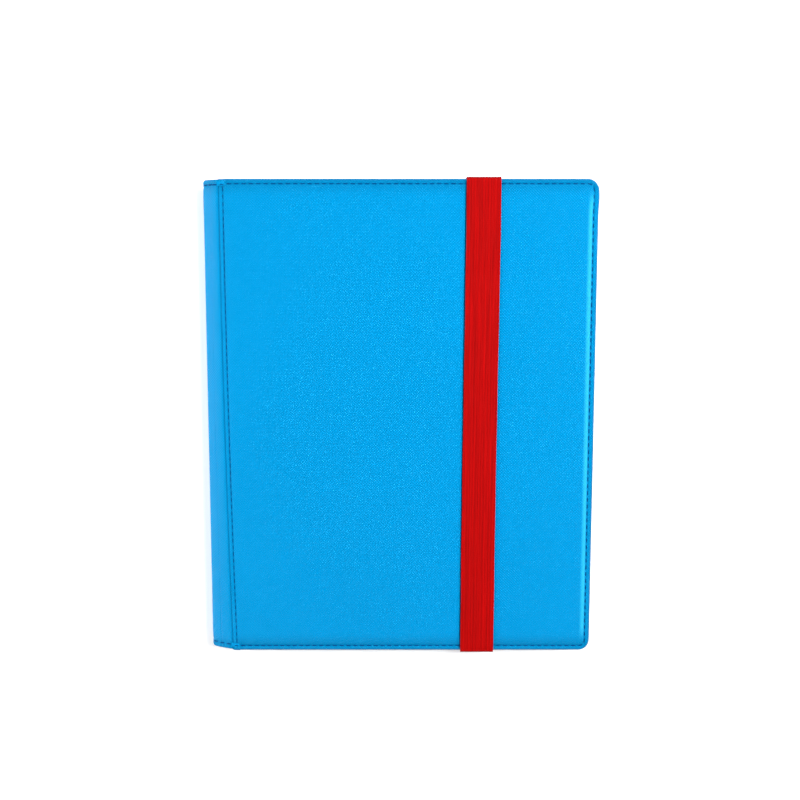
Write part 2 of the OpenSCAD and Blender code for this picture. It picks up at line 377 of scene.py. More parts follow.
def lining_profile(t, settings):
    """Insets, depths and share of the face of the lining's rows: a turned edge, then the face
    with a shallow channel along the seam."""
    t = np.atleast_1d(t)[:, None]
    rows = np.array([1.5, 1.5, 1.9, 2.6, 3.1, 3.6, 4.1, 4.8, 6.5, 10, 16])[None, :] * MM
    turned = np.array([0.9, 0.4, 0.06] + [0] * 8)[None, :] * settings.lining_t
    channel = 0.12 * MM * bell(rows, settings.seam_inset, 0.6 * MM)
    return rows + 0 * t, t - turned - channel, np.ones(rows.size)


def ring_layout(dx, dy, px, py, end_p, radius):
    """Insets from the fore-edge and from the end, for the points of a corner's rings.

    Each ring is an offset of the rounded corner. A point's share s of its way from the zone's
    limit to the corner's middle is laid off along the ring: first straight, then on the arc.
    """
    along_fore = px <= py
    d = np.where(along_fore, dx, dy)
    share = (end_p - np.maximum(px, py)) / (end_p - np.minimum(px, py))
    r = np.minimum(np.maximum(radius - d, 1.6 * MM), CORNER_ZONE - d)
    straight = CORNER_ZONE - d - r
    way = share * (straight + r * math.pi / 4)
    angle = np.clip((way - straight) / r, 0, math.pi / 4)
    off = np.where(way < straight, d, d + r * (1 - np.cos(angle)))
    along = np.where(way < straight, CORNER_ZONE - way, d + r * (1 - np.sin(angle)))
    return np.where(along_fore, off, along), np.where(along_fore, along, off)


def developed(insets, depths):
    """Length along an edge's profile, from its turned-in end."""
    steps = np.hypot(np.diff(insets), np.diff(depths))
    return np.concatenate([[0], np.cumsum(steps)])


def seam_layout(settings):
    """The U-shaped edge seam's straight run, corner radius, side run, and its true pitch."""
    corner_r = settings.corner_r - settings.seam_inset
    run = COVER_L - settings.seam_inset - corner_r
    side = 2 * (HALF_H - settings.seam_inset - corner_r)
    total = 2 * run + side + corner_r * math.pi
    return run, corner_r, side, total / round(total / settings.stitch_pitch)


def cover_surface(cols, rows, profile, fore_edge, settings, outer=True, strapped=False):
    """A grid over part of the front half's outer or inner face.

    cols are developed lengths along the fold path, rows are heights on the face. The profile
    adds the rows across the two ends and, where there is a fore-edge, across it and its corners.
    Returns the points, UV in metres, and the masks: wear and painted shade on the edge, painted shade
    in the channels and along the elastic's edge, painted shade along the two ends, and a painted
    highlight on the line inside the fore-edge's seam.
    """
    full = profile(COVER_T, settings)
    full_p = developed(full[0][0], full[1][0])
    count = len(full_p)
    end_p = full_p[-1]
    u = np.concatenate([cols, COVER_L - full[0][0][::-1]]) if fore_edge else np.asarray(cols)
    nu = len(u)
    t = body_thickness(u)
    x, z, nx, nz = fold_path(u)

    dx, px = COVER_L - u, end_p + COVER_L - u - CORNER_ZONE
    drop_x = face_drop(dx, COVER_T, settings) if outer else t * 0
    face_u = np.ones(nu)
    if fore_edge:
        px[-count:] = full_p[::-1]
        drop_x[-count:] = full[1][0][::-1]
        face_u[-count:] = full[2][::-1]

    insets, depths, face = profile(t, settings)
    middle = len(rows)
    inner = np.repeat(HALF_H - np.abs(rows)[None, :], nu, axis=0)
    dy = np.concatenate([insets, inner, insets[:, ::-1]], axis=1)
    plain = face_drop(inner, t[:, None], settings) if outer else np.repeat(t[:, None], middle, axis=1)
    drop_y = np.concatenate([depths, plain, depths[:, ::-1]], axis=1)
    py = np.concatenate([full_p, end_p + HALF_H - np.abs(rows) - CORNER_ZONE, full_p[::-1]])
    face_v = np.concatenate([face, np.ones(middle), face[::-1]])
    nv = len(py)
    side = np.concatenate([-np.ones(count), np.where(rows < 0, -1, 1), np.ones(count)])[None, :]

    px2, py2 = np.repeat(px[:, None], nv, axis=1), np.repeat(py[None, :], nu, axis=0)
    dx2 = np.repeat(dx[:, None], nv, axis=1)
    drop_x2 = np.repeat(drop_x[:, None], nv, axis=1)
    zone = (px2 < end_p) & (py2 < end_p)
    qx, qy = ring_layout(dx2, dy, px2, np.minimum(py2, end_p - 1e-9), end_p, settings.corner_r)
    ring_drop = np.where(px2 <= py2, drop_x2, drop_y)
    drop = np.where(zone, ring_drop, np.maximum(drop_x2, drop_y))
    qx, qy = np.where(zone, qx, dx2), np.where(zone, qy, dy)
    on_face = face_u[:, None] * face_v[None, :]
    drawn_in = end_inset(x[:, None], u[:, None], side)
    y = side * (HALF_H - drawn_in * (1 - smoothstep(0, HALF_H, qy)) - qy)
    px_out = np.where(zone, FORE_X - qx, x[:, None]) + hinge_shift(u[:, None], y)
    px_out = px_out + CORNER_BULGE * bell(y, HALF_H - 13 * MM, 7 * MM) * smoothstep(25 * MM, 0, dx2)

    edge_d = np.minimum(np.where(px2 < 1, qx, 1), qy)
    if outer:
        drop = drop + hinge_drop(u, settings)[:, None] * on_face
        drop = drop + relief(px_out, y, u[:, None], edge_d, settings, strapped) * on_face
    points = np.stack([px_out - nx[:, None] * drop, y, z[:, None] - nz[:, None] * drop], axis=2)

    across = np.repeat(np.where(px < end_p, COVER_L + end_p - CORNER_ZONE - px, u)[:, None], nv, axis=1)
    uv = np.stack([across, side * (HALF_H - CORNER_ZONE + end_p - py2)], axis=2)
    edge_p = full_p[max(count - len(FACE_ROWS) - 3, 0)]
    # Mask on the rolled edge: real wear there roughens the skin, and the same mask paints shade into its
    # colour
    wear = np.clip(bell(np.minimum(px2, py2), edge_p, 1.3 * MM), 0, 1)
    # Painted shade in the edge seam's channel, the hinge seam's channel and the crease, and a deeper painted
    # shadow along the elastic's edge nearer the spine
    seam = bell(edge_d, settings.seam_inset, 0.6 * MM)
    hinge = np.maximum(bell(u, settings.hinge_seam, 0.6 * MM), 1.25 * bell(u, 0, 0.5 * MM))
    channel = np.maximum(seam, hinge[:, None]) * on_face
    if strapped:
        channel_shade = 2.2 * strap_line(px_out, y) * smoothstep(0.5 * MM, 3 * MM, edge_d)
        channel = np.maximum(channel, channel_shade)
    # Painted shade in bands along the covers' two ends, inside their seams
    shoulder = smoothstep(13 * MM, 4.5 * MM, HALF_H - np.abs(y)) * on_face
    # Painted highlight on a line just inside the fore-edge's seam
    rubbed = bell(dx2, settings.seam_inset + 1.9 * MM, 0.9 * MM)
    rubbed = rubbed * smoothstep(6 * MM, 20 * MM, qy) * on_face
    return points, uv, {"wear": wear, "channel": channel, "shoulder": shoulder, "rubbed": rubbed}


def strap_line(x, y):
    """1 on the line that the elastic's edge nearer the spine presses into the cover, 0 away from it."""
    return bell(x, STRAP_LOW.x + STRAP_LEAN * y - 0.3 * MM, 0.6 * MM)


def relief(x, y, u, edge_d, settings, strapped):
    """Small depths on the outer face: dimples where the thread dives, the bed that the elastic
    presses into the padding, and the slow unevenness of foam under a thin skin."""
    run, corner_r, _, pitch = seam_layout(settings)
    at_end = HALF_H - np.abs(y) < COVER_L - u
    beyond = run + corner_r * math.pi / 2 + HALF_H - settings.corner_r - np.abs(y)
    s = np.where(at_end, u, beyond)
    dive = 0.5 + 0.5 * np.cos(2 * math.pi * s / pitch)
    dimples = 0.2 * MM * dive * bell(edge_d, settings.seam_inset, 1.1 * MM)
    hinge_dive = 0.5 + 0.5 * np.cos(2 * math.pi * (y + HALF_H) / settings.stitch_pitch)
    dimples = dimples + 0.12 * MM * hinge_dive * bell(u, settings.hinge_seam, 1.1 * MM)
    off_strap = np.abs(x - STRAP_X - STRAP_LEAN * y)
    bed = 1 - smoothstep(STRAP_W / 2 - 1 * MM, STRAP_W / 2 + 2.5 * MM, off_strap)
    bed = (0.3 * bed + 0.35 * strap_line(x, y)) * MM * smoothstep(4 * MM, 16 * MM, edge_d) * strapped
    waves = np.sin(31 * x + 17 * y + 1.0) * np.sin(23 * y - 11 * x + 0.4)
    waves = waves + 0.6 * np.sin(53 * x - 29 * y) * np.sin(47 * y + 2.0)
    gathers = np.sin(160 * y + 3 * np.sin(37 * y)) * np.sin(150 * x + 2 * np.sin(41 * x) + 1.0)
    gathers = 0.045 * MM * gathers * bell(edge_d, 9 * MM, 5 * MM)
    return dimples + bed + 0.045 * MM * (waves + 1.6) * smoothstep(3 * MM, 30 * MM, edge_d) + gathers


def face_columns(start, settings):
    """Developed lengths of the columns from start to the fore-edge's corner zone: close together
    at the crease, the hinge seam and the strap's edge, and two for each stitch elsewhere."""
    pitch = seam_layout(settings)[3]
    fine = np.array([-2.4, -1.7, -1.2, -0.9, -0.6, -0.4, -0.2, 0, 0.2, 0.4, 0.6, 0.9, 1.3, 1.8, 2.3]) * MM
    seam = np.array([2.65, 3.0, 3.35, 3.7, 4.1, 4.6, 5.2, 6.0, 7.2, 8.6]) * MM
    gutter = np.linspace(start, -3.4 * MM, 7)
    first = math.ceil(9.6 * MM / pitch * 2) * pitch / 2
    last = COVER_L - CORNER_ZONE - 1 * MM
    even = np.arange(first, last, pitch / 2)
    strap_u = STRAP_LOW.x - CREASE_POINT[0]
    even = even[np.abs(even - strap_u) > 2.9 * MM]
    beside = strap_u + np.linspace(-2.7, 2.7, 19) * MM
    return np.sort(np.concatenate([gutter, fine, seam, even, beside]))


def spine_columns():
    """Developed lengths of the columns from the spine's middle to the gutter's middle."""
    bend = np.linspace(-GUTTER_L - 4.0 * MM, -GUTTER_L + 4.0 * MM, 17)
    gutter = np.linspace(-GUTTER_L + 4.0 * MM, GUTTER_MIDDLE_U, 5)[1:]
    return np.concatenate([[SPINE_MIDDLE_U, SPINE_MIDDLE_U + 1.2 * MM], bend, gutter])


def face_rows(spacing):
    """Heights of the rows between the two end zones, an equal spacing apart."""
    half = HALF_H - CORNER_ZONE
    count = 2 * round(half / spacing)
    return np.linspace(-half, half, count + 1)[1:-1]


# The bodies that carry each half of the case: its gutter, its cover, and the spine
FRONT_BODIES = ("front_gutter", "front_cover", "spine")
BACK_BODIES = ("rear_gutter", "back_cover", "spine")


def blend_fold(piece, fore_edge, back):
    """Bakes a sheet's placement into its mesh. The fold's bodies and two ends, a cover's sheet's
    across the crease and the others' across the spine's edge, are worked out but not used."""
    gutter, cover, spine = BACK_BODIES if back else FRONT_BODIES
    body_from, body_to = (gutter, cover) if fore_edge else (spine, gutter)
    ends = []
    for u in CREASE_BEND if fore_edge else SPINE_BEND:
        x, z, _, _ = fold_path(u)
        ends.append((float(x), 0.0, float(TOP - z if back else z)))
    if back and body_from == "spine":
        body_from, body_to, ends = body_to, body_from, ends[::-1]
    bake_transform(piece)


def build_skins(settings, material):
    """The leatherette of the case: four sheets that meet in the middle of the gutters and spine."""
    rows = face_rows(settings.stitch_pitch / 2)
    for back in (False, True):
        half = "back" if back else "front"
        sheets = [
            (f"{half}_cover_skin", face_columns(GUTTER_MIDDLE_U, settings), True),
            (f"{half}_gutter_skin_sheet", spine_columns(), False),
        ]
        for name, cols, fore_edge in sheets:
            points, uv, masks = cover_surface(
                cols, rows, edge_profile, fore_edge, settings, strapped=fore_edge and not back
            )
            faces = grid_faces(*points.shape[:2], flip=back)
            points = to_back(points) if back else points
            piece = make_piece(name, points, faces, material, uv, masks)
            blend_fold(piece, fore_edge, back)
            solidify(piece, settings.skin_t)
    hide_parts("front_skin", "front_stitching")
    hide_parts("front_gutter_skin", "spine_skin", "front_gutter_stitching", "spine_stitching")
    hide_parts("back_skin", "back_stitching")
    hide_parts("rear_gutter_skin", "rear_gutter_stitching")


def build_linings(settings, material):
    """The lining of the case: four sheets that follow the inner face."""
    rows = face_rows(9 * MM)
    gutter_cols = np.linspace(GUTTER_MIDDLE_U, -2.5 * MM, 4)
    flat_cols = np.linspace(10 * MM, COVER_L - CORNER_ZONE - 6 * MM, 26)
    cover_cols = np.concatenate([gutter_cols, np.linspace(-1.9, 7.5, 36) * MM, flat_cols])
    for back in (False, True):
        gutter = (BACK_BODIES if back else FRONT_BODIES)[0]
        half = "back" if back else "front"
        gutter_nodes = [f"{gutter}_lining"] + ([] if back else ["spine_lining"])
        sheets = [
            (f"{half}_lining_sheet", cover_cols, True, [f"{half}_lining"]),
            (f"{half}_gutter_lining_sheet", spine_columns(), False, gutter_nodes),
        ]
        for name, cols, fore_edge, nodes in sheets:
            points, uv, masks = cover_surface(cols, rows, lining_profile, fore_edge, settings, outer=False)
            faces = grid_faces(*points.shape[:2], flip=not back)
            points = to_back(points) if back else points
            piece = make_piece(name, points, faces, material, uv, masks)
            blend_fold(piece, fore_edge, back)
            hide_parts(*nodes)
            solidify(piece, settings.lining_t)


def cover_slabs(label, x, y, top_z, bottom_z, material):
    """A closed slab in each cover between two heights: the front cover's, and its mirror image."""
    slabs = []
    for half in ("front", "back"):
        points, faces = closed_slab(np.stack([x, y, top_z], axis=2), np.stack([x, y, bottom_z], axis=2))
        if half == "back":
            points, faces = to_back(points), faces[:, ::-1]
        slabs.append((half, make_piece(f"{half}_{label}", points, faces, material)))
    return slabs


def build_padding(settings, material):
    """The foam pads: the skin's crown less its thickness above, the board's face below."""
    near = np.array([1.8, 2.4, 3.5, 5, 7, 9, 12]) * MM
    u = np.concatenate([np.linspace(PAD_U + 0.8 * MM, PAD_U + 10 * MM, 8), np.linspace(20, 244, 40) * MM])
    u = np.concatenate([u, COVER_L - near[::-1]])
    v = np.linspace(-1, 1, 41) * (HALF_H - 18 * MM)
    v = np.concatenate([near - HALF_H, v, HALF_H - near[::-1]])
    uu, vv = np.meshgrid(u, v, indexing="ij")
    d = np.minimum(COVER_L - uu, HALF_H - np.abs(vv))
    corner = 6.5 * MM
    qx = COVER_L - uu - near[0]
    qy = HALF_H - np.abs(vv) - near[0]
    reach = np.hypot(np.maximum(corner - qx, 0), np.maximum(corner - qy, 0))
    cut = np.clip((corner - reach) / corner, -1, 1)
    pull = np.where(cut < 0, -cut * corner, 0) * 0.72
    y = vv - np.sign(vv) * pull
    x = CREASE_POINT[0] + uu - pull + hinge_shift(uu, y)
    drop = face_drop(d, COVER_T, settings) + hinge_drop(uu, settings) + settings.skin_t + 0.5 * MM
    bottom_z = np.full_like(x, BOARD_HIGH.z + 0.02 * MM)
    for half, piece in cover_slabs("padding", x, y, TOP - drop, bottom_z, material):
        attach(piece, f"{half}_cover")
        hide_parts(f"{half}_foam")


def build_boards(material):
    """The covers' boards: flat slabs with rounded corners at the fore-edge, whose hinge ends
    follow the lean of the hinge seam."""
    turn = np.radians(np.linspace(0, 90, 9))
    radius = 6 * MM
    straight_x = BOARD_LOW.x + np.array([0, 20, 40]) * MM
    x = np.concatenate([straight_x, BOARD_HIGH.x - radius * (1 - np.sin(turn))])
    half_y = BOARD_HIGH.y - radius * (1 - np.cos(np.concatenate([[0, 0, 0], turn])))
    y = half_y[:, None] * np.linspace(-1, 1, 31)[None, :]
    x = x[:, None] + hinge_shift(x[:, None] - CREASE_POINT[0], y)
    top_z, bottom_z = np.full_like(x, BOARD_HIGH.z), np.full_like(x, BOARD_LOW.z)
    for half, piece in cover_slabs("cover_board", x, y, top_z, bottom_z, material):
        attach(piece, f"{half}_cover")
        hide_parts(f"{half}_board")


# ---------------------------------------------------------------------------
# Stitching
# ---------------------------------------------------------------------------


def stitch_points(centres, tangents, normals, stitch_l, thread_d):
    """Points of many equal stitches, as an array of stitches, rings and sides.

    A stitch's centre line is an arch: level in the middle, and it dives by the fourth power of
    the distance from it. Its radius shrinks like an ellipse's towards both ends.
    """
    a = np.linspace(-1, 1, 8)
    ring = np.radians(np.arange(0, 360, 60))
    side = np.cross(normals, tangents)
    arch = 0.05 * thread_d - 0.62 * thread_d * a**4
    radius = 0.5 * thread_d * np.sqrt(np.clip(1 - 0.93 * a**6, 0, 1))
    line = centres[:, None] + tangents[:, None] * (a * stitch_l / 2)[None, :, None]
    line = line + normals[:, None] * arch[None, :, None]
    across = side[:, None, None] * np.cos(ring)[None, None, :, None]
    across = across + normals[:, None, None] * np.sin(ring)[None, None, :, None] * 0.8
    return line[:, :, None] + across * radius[None, :, None, None]


def stitch_piece(name, centres, tangents, normals, settings, material, back):
    """One mesh of closed stitches; a point's UV is its way along the thread and round it."""
    stitch_l = STITCH_SHARE * settings.stitch_pitch
    points = stitch_points(centres, tangents, normals, stitch_l, settings.thread_d)
    count, rings, sides = points.shape[:3]
    ring_i, side_i = np.meshgrid(np.arange(rings - 1), np.arange(sides), indexing="ij")
    here = (ring_i * sides + side_i).ravel()
    beside = (ring_i * sides + (side_i + 1) % sides).ravel()
    wall = np.stack([here, here + sides, beside + sides, beside], axis=1)
    caps = np.array([[0, 1, 2, 3], [0, 3, 4, 5]])
    caps = np.concatenate([caps, caps[:, ::-1] + (rings - 1) * sides])
    one = np.concatenate([wall, caps])
    faces = (one[None] + (np.arange(count) * rings * sides)[:, None, None]).reshape(-1, 4)
    u, v = np.meshgrid(np.linspace(0, stitch_l, rings), np.arange(sides) / sides, indexing="ij")
    uv = np.repeat(np.stack([u, v * math.pi * settings.thread_d], axis=2)[None], count, axis=0)
    points = points.reshape(-1, 3)
    if back:
        points, faces = to_back(points), faces[:, ::-1]
    piece = make_piece(name, points, faces, material, uv)
    return piece


def seam_points(settings, inner):
    """Centres and directions of the stitches along a cover's U-shaped edge seam: the near end's
    straight run, a corner's arc, the fore-edge, the other arc and the other run."""
    run, corner_r, side, pitch = seam_layout(settings)
    arc = corner_r * math.pi / 2
    total = 2 * run + side + 2 * arc
    s = (np.arange(round(total / pitch)) + 0.5) * pitch
    line_y = HALF_H - settings.seam_inset
    corner_x = CREASE_POINT[0] + run
    fore_x = corner_x + corner_r
    first = np.clip((s - run) / corner_r, 0, math.pi / 2)
    second = np.clip((s - run - arc - side) / corner_r, 0, math.pi / 2)
    angle = first + second
    along = np.clip(s - run - arc, 0, side)
    back_run = np.clip(s - run - 2 * arc - side, 0, run)
    x = np.where(s < run, CREASE_POINT[0] + s, corner_x + corner_r * np.sin(angle) - back_run)
    y = np.where(first < math.pi / 2, corner_r * (1 - np.cos(first)), corner_r) + along
    y = y + corner_r * np.sin(second) - line_y
    tangents = np.stack([np.cos(angle), np.sin(angle), 0 * s], axis=1)
    u = x - CREASE_POINT[0]
    t = np.where(np.abs(y) > line_y - 1 * MM, body_thickness(u), COVER_T)
    if inner:
        depth = t - 0.22 * MM
    else:
        dips = [hinge_drop(u + k * MM, settings) for k in (-1.3, 0, 1.3)]
        depth = face_drop(settings.seam_inset, t, settings) + np.minimum.reduce(dips)
    y = y - np.sign(y) * end_inset(x, u, y)
    x = np.minimum(x, fore_x) + hinge_shift(u, y)
    centres = np.stack([x, y, TOP - depth], axis=1)
    normals = np.tile([0.0, 0.0, -1.0 if inner else 1.0], (len(s), 1))
    return centres, tangents, normals


def hinge_points(settings, inner):
    """Centres and directions of the stitches along the hinge seam beside the crease."""
    span = HALF_H - settings.seam_inset - 1.5 * MM
    count = round(2 * span / settings.stitch_pitch)
    y = (np.arange(count) + 0.5) / count * 2 * span - span
    depth = hinge_drop(settings.hinge_seam, settings) + face_drop(0.1, FOLD_T, settings)
    depth = FOLD_T if inner else depth + 0.2 * MM
    x = CREASE_POINT[0] + settings.hinge_seam + hinge_shift(np.full(count, settings.hinge_seam), y)
    centres = np.stack([x, y, np.full(count, TOP - depth)], axis=1)
    tangents = np.tile([0.0, 1.0, 0.0], (count, 1))
    normals = np.tile([0.0, 0.0, -1.0 if inner else 1.0], (count, 1))
    return centres, tangents, normals


def strip_end_points(u, settings, inner):
    """Centres and directions of stitches at developed lengths u, along both ends of a strip."""
    x, z, nx, nz = fold_path(u)
    t = body_thickness(u)
    depth = t - 0.12 * MM if inner else face_drop(settings.seam_inset, t, settings)
    px, pz = x - nx * depth, z - nz * depth
    normals = np.stack([nx, 0 * nx, nz], axis=1) * (-1 if inner else 1)
    tangents = np.stack([nz, 0 * nx, -nx], axis=1)
    centres = []
    for sign in (1, -1):
        y = sign * (HALF_H - end_inset(x, u, sign) - settings.seam_inset)
        centres.append(np.stack([px + hinge_shift(u, y), y, pz], axis=1))
    return np.concatenate(centres), np.tile(tangents, (2, 1)), np.tile(normals, (2, 1))


def build_stitching(settings, material):
    """Every stitch as its own arch of thread, outside and inside, one mesh for each run."""
    gutter_u = -GUTTER_L * (np.arange(3) + 0.5) / 3 + np.array([-0.5, 0, 0.3]) * MM
    spine_u = SPINE_MIDDLE_U + np.array([2.6]) * MM
    for back in (False, True):
        gutter, cover, _ = BACK_BODIES if back else FRONT_BODIES
        half = "back" if back else "front"
        for inner in (False, True):
            layer = "inner" if inner else "outer"
            runs = [
                (f"{half}_edge_stitches_{layer}", seam_points(settings, inner), cover),
                (f"{half}_hinge_stitches_{layer}", hinge_points(settings, inner), cover),
                (f"{gutter}_stitches_{layer}", strip_end_points(gutter_u, settings, inner), gutter),
                (f"{half}_spine_stitches_{layer}", strip_end_points(spine_u, settings, inner), "spine"),
            ]
            for name, (centres, tangents, normals), body in runs:
                piece = stitch_piece(name, centres, tangents, normals, settings, material, back)
                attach(piece, body)


# ---------------------------------------------------------------------------
# Elastic strap
# ---------------------------------------------------------------------------


def strap_route(settings):
    """Points and outward normals, in YZ, of the elastic's middle line: from its sewn-in end, out
    through the back cover's edge, up, over the front cover, and down the other side."""
    half_t = settings.thickness / 2
    run_z = TOP - 0.18 * MM + half_t
    leg_y = HALF_H + half_t + 0.15 * MM
    tab_z = (TAB_LOW.z + TAB_HIGH.z) / 2
    low_r, high_r = 0.9 * MM, 1.9 * MM
    turn = np.radians(np.linspace(0, 90, 9))
    low = np.stack([leg_y - low_r + low_r * np.sin(turn), tab_z + low_r - low_r * np.cos(turn)], axis=1)
    high = np.stack([leg_y - high_r + high_r * np.cos(turn), run_z - high_r + high_r * np.sin(turn)], axis=1)
    leg = np.linspace(low[-1], high[0], 9)[1:-1]
    run = np.linspace(high[-1], (0.0, run_z), 42)[1:]
    half = np.concatenate([[(HALF_H - SEWN_IN, tab_z)], low, leg, high, run])
    line = np.concatenate([half, half[-2::-1] * [-1, 1]])
    step = np.gradient(line, axis=0)
    step = step / np.linalg.norm(step, axis=1, keepdims=True)
    return line, np.stack([-step[:, 1], step[:, 0]], axis=1)


def strap_section(settings):
    """Points across the elastic, in metres from its middle: ribs of raised cosine between plain
    selvedges on both faces, and rounded edges. The last point meets the first."""
    across = np.linspace(-1, 1, settings.ribs * 8 + 1) * 0.98
    ribbed = smoothstep(1.0, 0.9, np.abs(across))
    wave = 0.5 + 0.5 * np.cos(across * settings.ribs * math.pi)
    height = settings.thickness / 2 - settings.rib_h * (1 - wave) * ribbed
    height = height + 0.5 * settings.rib_h * bell(np.abs(across), 0.945, 0.03)
    x = across * STRAP_W / 2
    turn = np.radians([60, 30, 0, -30, -60])
    edge = settings.thickness / 2 * 0.92
    right_x, right_z = STRAP_W / 2 * 0.985 + 0.5 * edge * np.cos(turn), edge * np.sin(turn)
    section_x = np.concatenate([x, right_x, x[::-1], -right_x])
    section_z = np.concatenate([height, right_z, -height[::-1], -right_z])
    return section_x, section_z


def build_strap(settings, material):
    """The elastic: its ribbed section carried along its route, a little narrower where it is
    stretched over the padding, and waving by a few hundredths of a millimetre."""
    line, normals = strap_route(settings)
    section_x, section_z = strap_section(settings)
    s = np.concatenate([[0], np.cumsum(np.linalg.norm(np.diff(line, axis=0), axis=1))])
    wander = 0.16 * MM * np.sin(19 * s) + 0.07 * MM * np.sin(97 * s + 1)
    narrow = 1 - 0.006 * np.sin(math.pi * s / s[-1])
    x = STRAP_X + STRAP_LEAN * line[:, :1] + wander[:, None] + section_x * narrow[:, None]
    y = line[:, :1] + normals[:, :1] * section_z[None, :]
    z = line[:, 1:] + normals[:, 1:] * section_z[None, :]
    points = np.stack([x, y, z], axis=2)
    rings, sides = points.shape[:2]
    i, j = np.meshgrid(np.arange(rings - 1), np.arange(sides), indexing="ij")
    a, b = (i * sides + j).ravel(), (i * sides + (j + 1) % sides).ravel()
    faces = np.stack([a, a + sides, b + sides, b], axis=1)
    uv = np.stack([np.tile(section_x, (rings, 1)), np.repeat(s[:, None], sides, axis=1)], axis=2)
    piece = make_piece("ribbed_elastic_strap", points, faces, material, uv)
    close_tube(piece)
    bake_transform(piece)
    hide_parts("elastic_strap", "strap_end_tabs")


def close_tube(piece):
    """Closes the open ends of a tube and turns every face outwards."""
    mesh = bmesh.new()
    mesh.from_mesh(piece.data)
    bmesh.ops.holes_fill(mesh, edges=[e for e in mesh.edges if e.is_boundary])
    bmesh.ops.recalc_face_normals(mesh, faces=mesh.faces)
    mesh.to_mesh(piece.data)
    mesh.free()


# ---------------------------------------------------------------------------
# Pocket leaves
# ---------------------------------------------------------------------------


def pocket_size(span, weld):
    """Width or height of a pocket, where the pockets and the welds round them fill a span."""
    return (span - (POCKETS + 1) * weld) / POCKETS


def pocket_shape(x, y, x0, half_h, settings, end_x):
    """Share of the pocket's height at a point: 0 on the welds, near 1 on a pocket, with a sharp
    step at the pocket's open side towards the spine and soft shoulders on the other three."""
    weld = settings.weld_w
    pocket_w, pocket_h = pocket_size(end_x - x0, weld), pocket_size(2 * half_h, weld)
    a = np.mod(x - x0, pocket_w + weld) - weld
    b = np.mod(y + half_h, pocket_h + weld) - weld
    open_side = smoothstep(-0.1 * MM, 0.15 * MM, a)
    closed_side = smoothstep(0, 2.5 * MM, pocket_w - a)
    ends = smoothstep(0, 2.2 * MM, b) * smoothstep(0, 2.2 * MM, pocket_h - b)
    inside = (x > x0) & (x < end_x - 0.2 * weld)
    return np.where(inside, open_side * closed_side * ends, 0)


def leaf_stations(start, span, weld):
    """Stations across the pockets: the welds' edges, the shoulders and a few between."""
    size = pocket_size(span, weld)
    marks = np.array([-0.02, 0.16, 1.2, 2.6]) * MM
    stations = [start]
    for k in range(POCKETS):
        low = start + weld + k * (size + weld)
        stations += [low - weld * 0.5, *(low + marks), *np.linspace(low + 9 * MM, low + size - 9 * MM, 5)]
        stations += [*(low + size - marks[::-1])]
    end = start + POCKETS * (size + weld) + weld
    return np.array([*stations, end - 0.8 * weld, end - 0.05 * weld, end])


def build_leaves(settings, material):
    """Twenty pocket leaves. Each is one closed sheet from its slot in the binding block: a thin
    margin, then three by three pockets a side, raised between their welds."""
    corner_r = 3 * MM
    for name in LEAVES:
        low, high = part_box(name)
        middle_z = (low.z + high.z) / 2
        pivot_x = PIVOTS[f"{name}_turn"][0]
        first_x = pivot_x + settings.margin
        half_h = high.y
        root = np.linspace(BLOCK_X - 1.6 * MM, pivot_x + 6 * MM, 11)
        margin = np.linspace(pivot_x + 7.5 * MM, first_x - 1.2 * MM, 4)
        x = np.concatenate([root, margin, leaf_stations(first_x, high.x - first_x, settings.weld_w)])
        y = leaf_stations(-half_h, 2 * half_h, settings.weld_w)
        xx, yy = np.meshgrid(x, y, indexing="ij")
        pocket = pocket_shape(xx, yy, first_x, half_h, settings, high.x)
        phase = 1.7 * (int(name[-2:]) + 1)
        ripple = 1 + 0.06 * np.sin(60 * xx + phase) * np.sin(45 * yy + 2 * phase)
        half_t = (settings.weld_t + (settings.pocket_t - settings.weld_t) * pocket * ripple) / 2
        thin = smoothstep(first_x - 2 * MM, first_x, xx)
        half_t = half_t * (0.32 + 0.68 * thin)
        near_x = np.clip(corner_r - (high.x - xx), 0, corner_r)
        rounding = corner_r - np.sqrt(corner_r**2 - near_x**2)
        yy = yy - np.sign(yy) * rounding * smoothstep(half_h - 6 * MM, half_h, np.abs(yy))
        taper = smoothstep(BLOCK_X - 1 * MM, pivot_x + 9 * MM, xx)
        yy = yy * (1 - 0.02 * (1 - taper))
        top = np.stack([xx, yy, middle_z + half_t], axis=2)
        bottom = np.stack([xx, yy, middle_z - half_t], axis=2)
        points, faces = closed_slab(top, bottom)
        uv = np.tile(np.stack([xx - first_x, yy], axis=2).reshape(-1, 2), (2, 1))
        mask = {"pocket": np.tile(pocket.ravel(), 2)}
        piece = make_piece(f"pocket_{name}", points, faces, material, uv, mask)
        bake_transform(piece)
        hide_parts(name)


# ---------------------------------------------------------------------------
# Materials
# ---------------------------------------------------------------------------


def feed(tree, node, inputs):
    """Fills a node's inputs, each given as a value or as a socket to link."""
    for key, value in inputs.items():
        if isinstance(value, bpy.types.NodeSocket):
            tree.links.new(value, node.inputs[key])
        else:
            node.inputs[key].default_value = value


def add_node(tree, kind, inputs=None, **settings):
    """A node of a tree, with its settings and inputs."""
    made = tree.nodes.new(kind)
    for key, value in settings.items():
        setattr(made, key, value)
    feed(tree, made, inputs or {})
    return made


def math_node(tree, operation, *values):
    """The output of a Math node."""
    return add_node(tree, "ShaderNodeMath", dict(enumerate(values)), operation=operation).outputs[0]


def times(tree, first, second):
    """The product of two values."""
    return math_node(tree, "MULTIPLY", first, second)


def new_group(name, inputs, outputs):
    """A shader node group with named inputs (name, kind, default) and outputs (name, kind)."""
    group = bpy.data.node_groups.new(name, "ShaderNodeTree")
    for label, kind, default in inputs:
        socket = group.interface.new_socket(label, in_out="INPUT", socket_type=f"NodeSocket{kind}")
        if default is not None:
            socket.default_value = default
    for label, kind in outputs:
        group.interface.new_socket(label, in_out="OUTPUT", socket_type=f"NodeSocket{kind}")
    return group, group.nodes.new("NodeGroupInput").outputs, group.nodes.new("NodeGroupOutput").inputs


